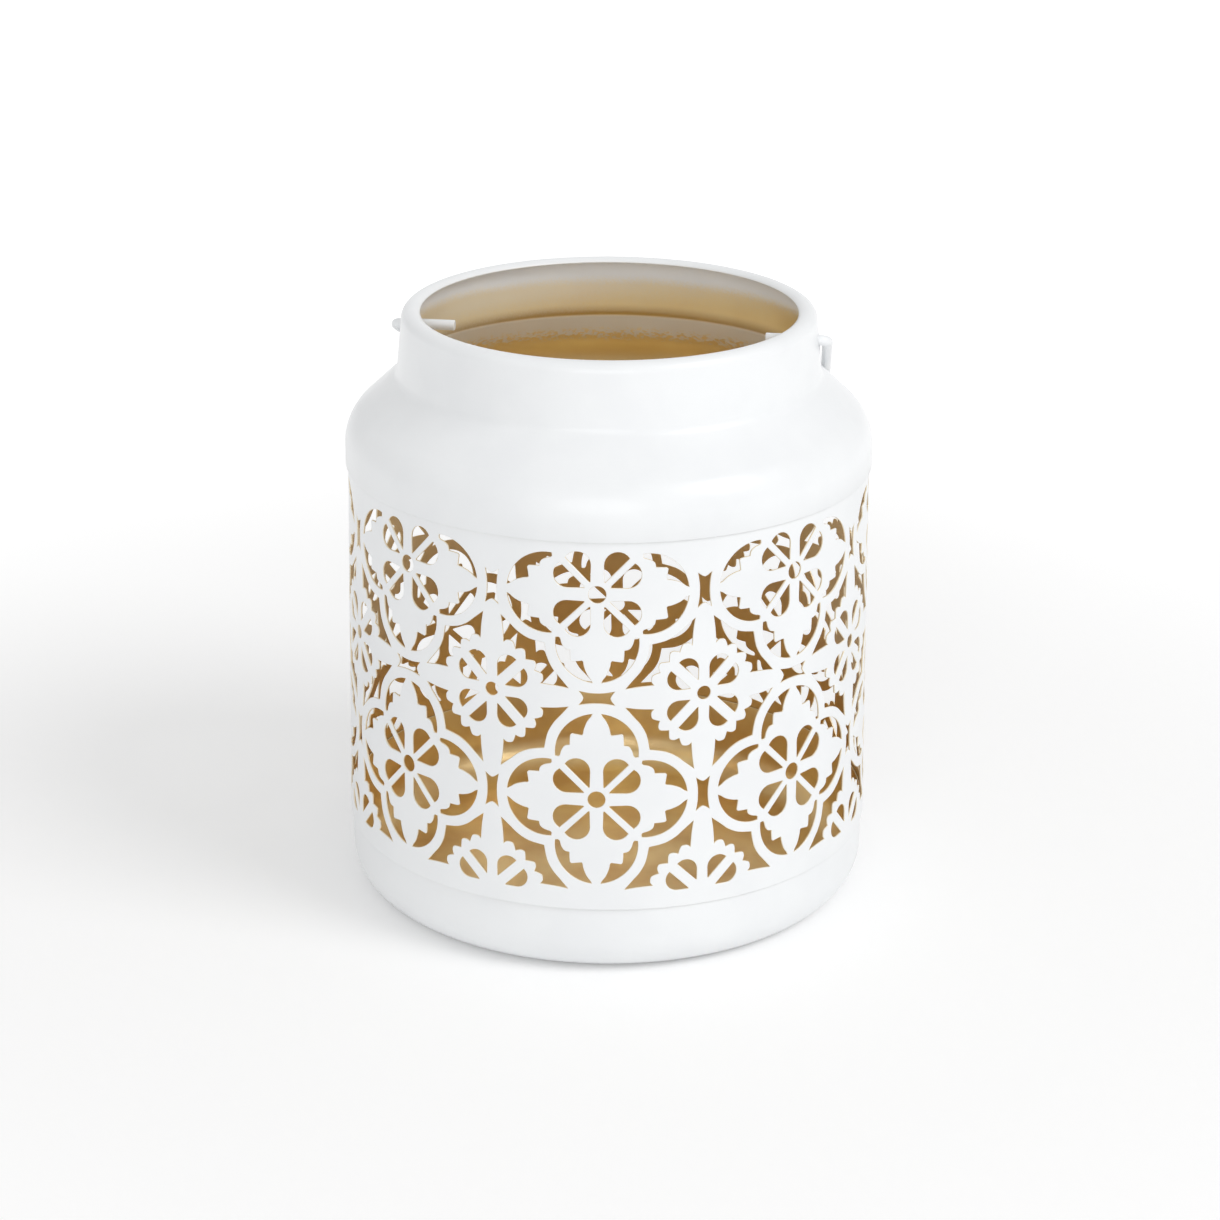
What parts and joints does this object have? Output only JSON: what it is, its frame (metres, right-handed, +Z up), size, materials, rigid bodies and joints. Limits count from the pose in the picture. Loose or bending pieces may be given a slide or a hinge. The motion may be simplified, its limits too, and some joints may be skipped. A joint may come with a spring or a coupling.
{
  "type": "punched tin lantern",
  "caption": "Round candle lantern of painted sheet: a pressed base, a band punched with rosettes and flowers, a shoulder with a rolled open rim, and a swinging wire bail.",
  "frame": {"origin": "centre of the base's underside, on the surface that the lantern stands on", "axes": "+Z up along the lantern's axis; X along the line that the bail turns about; the bail lies back towards +Y at rest"},
  "size_m": [0.1518, 0.1798, 0.1716],
  "materials": {
    "enamelled_sheet": "satin white enamel outside, gold lacquer inside",
    "enamelled_wire": "satin white enamel"
  },
  "bodies": {
    "lantern": {"base_pan": "enamelled_sheet", "punched_band": "enamelled_sheet", "shoulder": "enamelled_sheet"},
    "bail": {"bail": "enamelled_wire"}
  },
  "joints": [
    {"name": "bail_swing", "type": "hinge", "parent": "lantern", "child": "bail", "pos_m": [0, 0, 0.1641], "axis": [1, 0, 0], "range_deg": [0, 230]}
  ]
}
